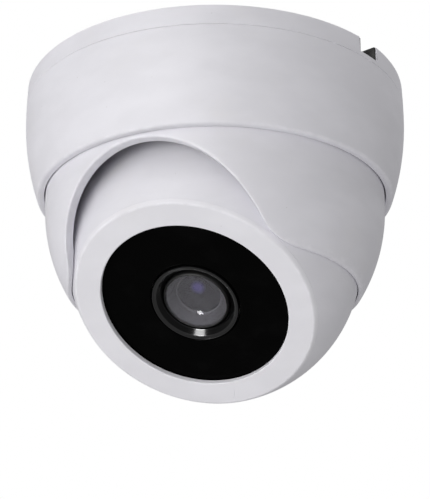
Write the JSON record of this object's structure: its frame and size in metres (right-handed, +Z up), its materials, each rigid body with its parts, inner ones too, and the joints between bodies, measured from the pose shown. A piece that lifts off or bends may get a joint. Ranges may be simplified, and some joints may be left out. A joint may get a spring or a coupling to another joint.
{
  "type": "dome cctv camera",
  "caption": "Ceiling dome security camera with a turning cover, a tilting eyeball and a lens behind a black infrared window.",
  "frame": {"origin": "centre of the base plate's back face, which lies flat on the ceiling", "axes": "+Z up into the ceiling, the camera hangs towards -Z, its eyeball looks down and towards -Y at rest, +X to the right seen from the front"},
  "size_m": [0.094, 0.094, 0.0763],
  "materials": {
    "housing_white": "fine satin moulded plastic, faintly cool white",
    "ball_white": "fine satin moulded plastic",
    "bezel_white": "fine satin moulded plastic",
    "window_black": "polished black, infrared passes",
    "shroud_black": "polished black rim round the lens",
    "black_plastic": "matt black moulded",
    "lens_glass": "coated glass with a violet sheen",
    "cut_filter": "coated infrared-cut glass",
    "clear_filter": "clear glass",
    "rubber": "matt black rubber",
    "nylon": "natural nylon",
    "steel": "plated steel",
    "main_board": "green solder mask",
    "led_board": "white solder mask",
    "led_epoxy": "smoked epoxy",
    "chip_black": "moulded black package",
    "sensor": "cover glass over dark silicon"
  },
  "bodies": {
    "base": {"base_plate": "housing_white", "cable_grommet": "rubber", "housing_shell": "housing_white", "pan_slip_washer": "nylon", "pan_retaining_ring": "black_plastic"},
    "turret": {"turret_cover": "housing_white"},
    "eyeball": {"ball_front_shell": "ball_white", "ball_rear_shell": "ball_white", "ball_screw_1": "steel", "ball_screw_2": "steel", "ball_screw_3": "steel", "tilt_bush_left": "rubber", "tilt_bush_right": "rubber"},
    "optics": {"bezel_ring": "bezel_white", "face_window": "window_black", "window_gasket": "rubber", "module_frame": "black_plastic", "led_board": "led_board", "led_screw_1": "steel", "led_screw_2": "steel", "led_screw_3": "steel", "infrared_led_01": "led_epoxy", "infrared_led_02": "led_epoxy", "infrared_led_03": "led_epoxy", "infrared_led_04": "led_epoxy", "infrared_led_05": "led_epoxy", "infrared_led_06": "led_epoxy", "infrared_led_07": "led_epoxy", "infrared_led_08": "led_epoxy", "infrared_led_09": "led_epoxy", "infrared_led_10": "led_epoxy", "infrared_led_11": "led_epoxy", "infrared_led_12": "led_epoxy", "light_sensor": "sensor", "light_shroud": "shroud_black", "lens_barrel": "black_plastic", "lens_front_glass": "lens_glass", "lens_rear_glass": "lens_glass", "lens_lock_ring": "steel", "lens_holder": "black_plastic", "filter_motor": "chip_black", "image_sensor": "sensor", "main_board": "main_board", "board_screw_1": "steel", "board_screw_2": "steel", "board_screw_3": "steel", "processor_chip": "chip_black", "cable_connector": "nylon"},
    "night_filter": {"filter_frame": "black_plastic", "cut_filter_glass": "cut_filter", "clear_filter_glass": "clear_filter"}
  },
  "joints": [
    {"name": "pan", "type": "hinge", "parent": "base", "child": "turret", "pos_m": [0, 0, -0.0313], "axis": [0, 0, 1], "range_deg": [-150, 200]},
    {"name": "tilt", "type": "hinge", "parent": "turret", "child": "eyeball", "pos_m": [0, 0, -0.0432], "axis": [0.9026, -0.4305, 0], "range_deg": [-30, 34.5]},
    {"name": "twist", "type": "hinge", "parent": "eyeball", "child": "optics", "pos_m": [0, 0, -0.0432], "axis": [-0.2438, -0.5112, -0.8241], "range_deg": [-175, 175]},
    {"name": "filter_switch", "type": "slide", "parent": "optics", "child": "night_filter", "axis": [0.9026, -0.4305, 0], "range_m": [0, 0.008]}
  ]
}
